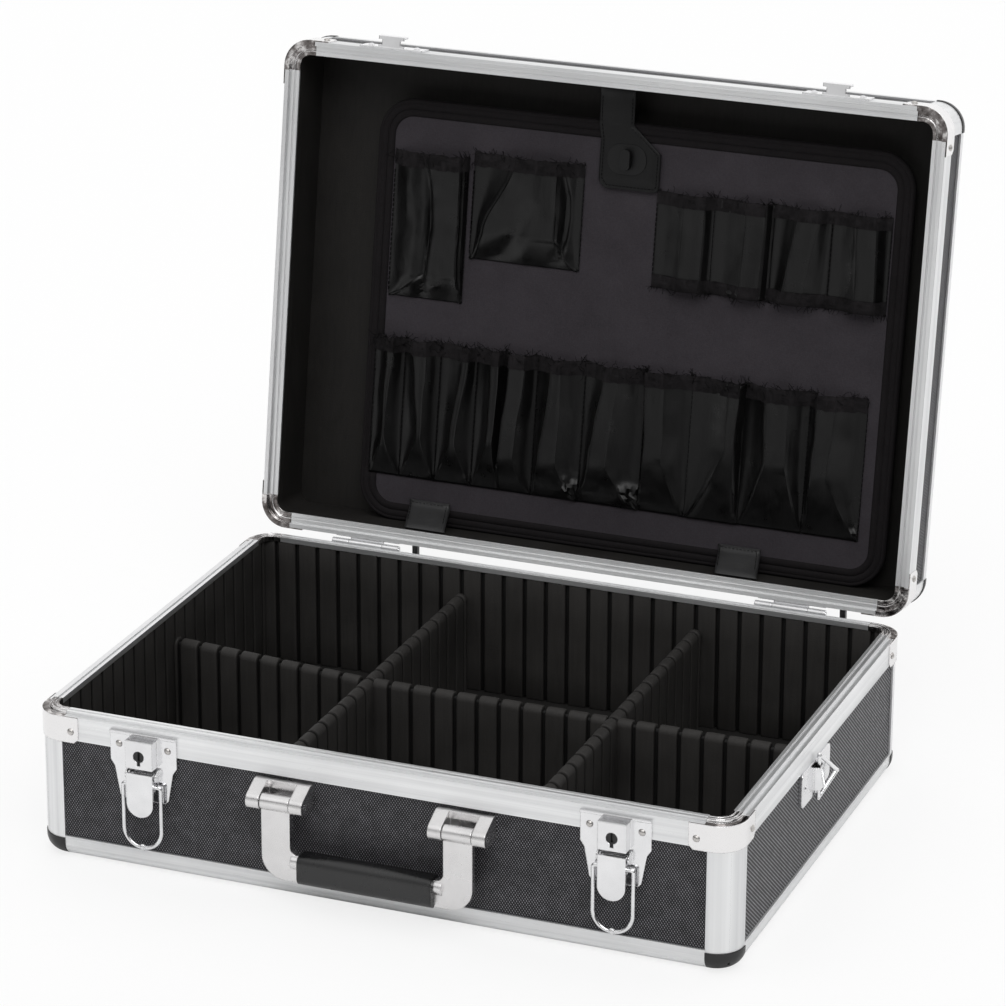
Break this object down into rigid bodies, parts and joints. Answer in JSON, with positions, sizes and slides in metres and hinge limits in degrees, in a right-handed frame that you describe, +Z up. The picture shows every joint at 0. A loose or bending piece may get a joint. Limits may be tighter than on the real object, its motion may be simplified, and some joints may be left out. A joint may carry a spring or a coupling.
{
  "type": "hard tool case",
  "caption": "Aluminium-framed hard tool case with a hinged lid, key latches, folding handle, strap rings, padded dividers and a lid board with tool pockets.",
  "frame": {"origin": "middle of the footprint of the base, at floor level", "axes": "+Z up, +X to the right seen from the front, -Y to the front with the latches and handle, +Y to the hinges; the lid stands open at 99 degrees at rest"},
  "size_m": [0.4784, 0.4555, 0.4334],
  "materials": {
    "aluminium": "satin",
    "chrome": "polished",
    "plastic": "satin",
    "panel": "textured black laminate",
    "foam": "matt foam",
    "pu": "smooth",
    "board": "matt"
  },
  "bodies": {
    "base": {"base_bottom_panel": "panel", "base_front_panel": "panel", "base_rear_panel": "panel", "base_side_panels": "panel", "base_rim_rails": "aluminium", "base_corner_posts": "aluminium", "base_bottom_rails": "aluminium", "base_corner_caps": "plastic", "base_corner_brackets": "chrome", "base_rivets": "chrome", "base_wall_linings": "foam", "base_floor_lining": "foam", "latch_plate_left": "chrome", "latch_plate_right": "chrome", "lever_pins": "chrome", "handle_brackets": "chrome", "handle_pins": "chrome", "ring_plates": "chrome", "hinge_base_leaves": "chrome", "hinge_pins": "chrome", "lid_stops": "plastic"},
    "lid": {"lid_top_panel": "panel", "lid_front_panel": "panel", "lid_rear_panel": "panel", "lid_side_panels": "panel", "lid_rim_rails": "aluminium", "lid_corner_posts": "aluminium", "lid_edge_rails": "aluminium", "lid_corner_caps": "plastic", "lid_corner_brackets": "chrome", "lid_rivets": "chrome", "lid_wall_linings": "foam", "lid_back_lining": "foam", "lid_catches": "chrome", "hinge_lid_leaves": "chrome", "tool_board": "board", "board_border": "foam", "lower_pockets": "pu", "upper_pockets": "pu", "tool_loops": "pu", "board_tabs": "pu", "board_strap": "pu", "strap_eyelet": "plastic", "turn_lock_base": "plastic"},
    "handle": {"handle_arms": "chrome", "handle_grip": "plastic"},
    "lever_left": {"latch_lever_left": "chrome"},
    "lever_right": {"latch_lever_right": "chrome"},
    "bail_left": {"latch_bail_left": "chrome"},
    "bail_right": {"latch_bail_right": "chrome"},
    "plug_left": {"lock_plug_left": "plastic"},
    "plug_right": {"lock_plug_right": "plastic"},
    "ring_left": {"strap_ring_left": "chrome"},
    "ring_right": {"strap_ring_right": "chrome"},
    "divider_long_left": {"long_divider_left": "foam"},
    "divider_long_right": {"long_divider_right": "foam"},
    "divider_short_left": {"short_divider_left": "foam"},
    "divider_short_middle": {"short_divider_middle": "foam"},
    "divider_short_right": {"short_divider_right": "foam"},
    "button": {"turn_button": "plastic"}
  },
  "joints": [
    {"name": "lid_hinge", "type": "hinge", "parent": "base", "child": "lid", "pos_m": [0, 0.1693, 0.095], "axis": [-1, 0, 0], "range_deg": [-98.95, 0]},
    {"name": "handle_swing", "type": "hinge", "parent": "base", "child": "handle", "pos_m": [0, -0.178, 0.0684], "axis": [-1, 0, 0], "range_deg": [0, 95]},
    {"name": "lever_left_pivot", "type": "hinge", "parent": "base", "child": "lever_left", "pos_m": [-0.153, -0.1686, 0.0665], "axis": [-1, 0, 0], "range_deg": [0, 88]},
    {"name": "bail_left_pivot", "type": "hinge", "parent": "lever_left", "child": "bail_left", "pos_m": [-0.153, -0.1694, 0.06], "axis": [1, 0, 0], "range_deg": [-180, 0]},
    {"name": "lock_left_turn", "type": "hinge", "parent": "base", "child": "plug_left", "pos_m": [-0.153, -0.169, 0.0803], "axis": [0, -1, 0], "range_deg": [0, 90]},
    {"name": "ring_left_swing", "type": "hinge", "parent": "base", "child": "ring_left", "pos_m": [-0.2303, -0.0185, 0.0685], "axis": [0, 0, 1], "range_deg": [-15, 110]},
    {"name": "lever_right_pivot", "type": "hinge", "parent": "base", "child": "lever_right", "pos_m": [0.153, -0.1686, 0.0665], "axis": [-1, 0, 0], "range_deg": [0, 88]},
    {"name": "bail_right_pivot", "type": "hinge", "parent": "lever_right", "child": "bail_right", "pos_m": [0.153, -0.1694, 0.06], "axis": [1, 0, 0], "range_deg": [-180, 0]},
    {"name": "lock_right_turn", "type": "hinge", "parent": "base", "child": "plug_right", "pos_m": [0.153, -0.169, 0.0803], "axis": [0, -1, 0], "range_deg": [0, 90]},
    {"name": "ring_right_swing", "type": "hinge", "parent": "base", "child": "ring_right", "pos_m": [0.2303, -0.0185, 0.0685], "axis": [0, 0, -1], "range_deg": [-15, 110]},
    {"name": "divider_long_left_lift", "type": "slide", "parent": "base", "child": "divider_long_left", "axis": [0, 0, 1], "range_m": [0, 0.1]},
    {"name": "divider_long_right_lift", "type": "slide", "parent": "base", "child": "divider_long_right", "axis": [0, 0, 1], "range_m": [0, 0.1]},
    {"name": "divider_short_left_lift", "type": "slide", "parent": "base", "child": "divider_short_left", "axis": [0, 0, 1], "range_m": [0, 0.1]},
    {"name": "divider_short_middle_lift", "type": "slide", "parent": "base", "child": "divider_short_middle", "axis": [0, 0, 1], "range_m": [0, 0.1]},
    {"name": "divider_short_right_lift", "type": "slide", "parent": "base", "child": "divider_short_right", "axis": [0, 0, 1], "range_m": [0, 0.1]},
    {"name": "button_turn", "type": "hinge", "parent": "lid", "child": "button", "pos_m": [0.008, 0.23672, 0.36407], "axis": [0, -0.9877, 0.1564], "range_deg": [0, 90]}
  ]
}
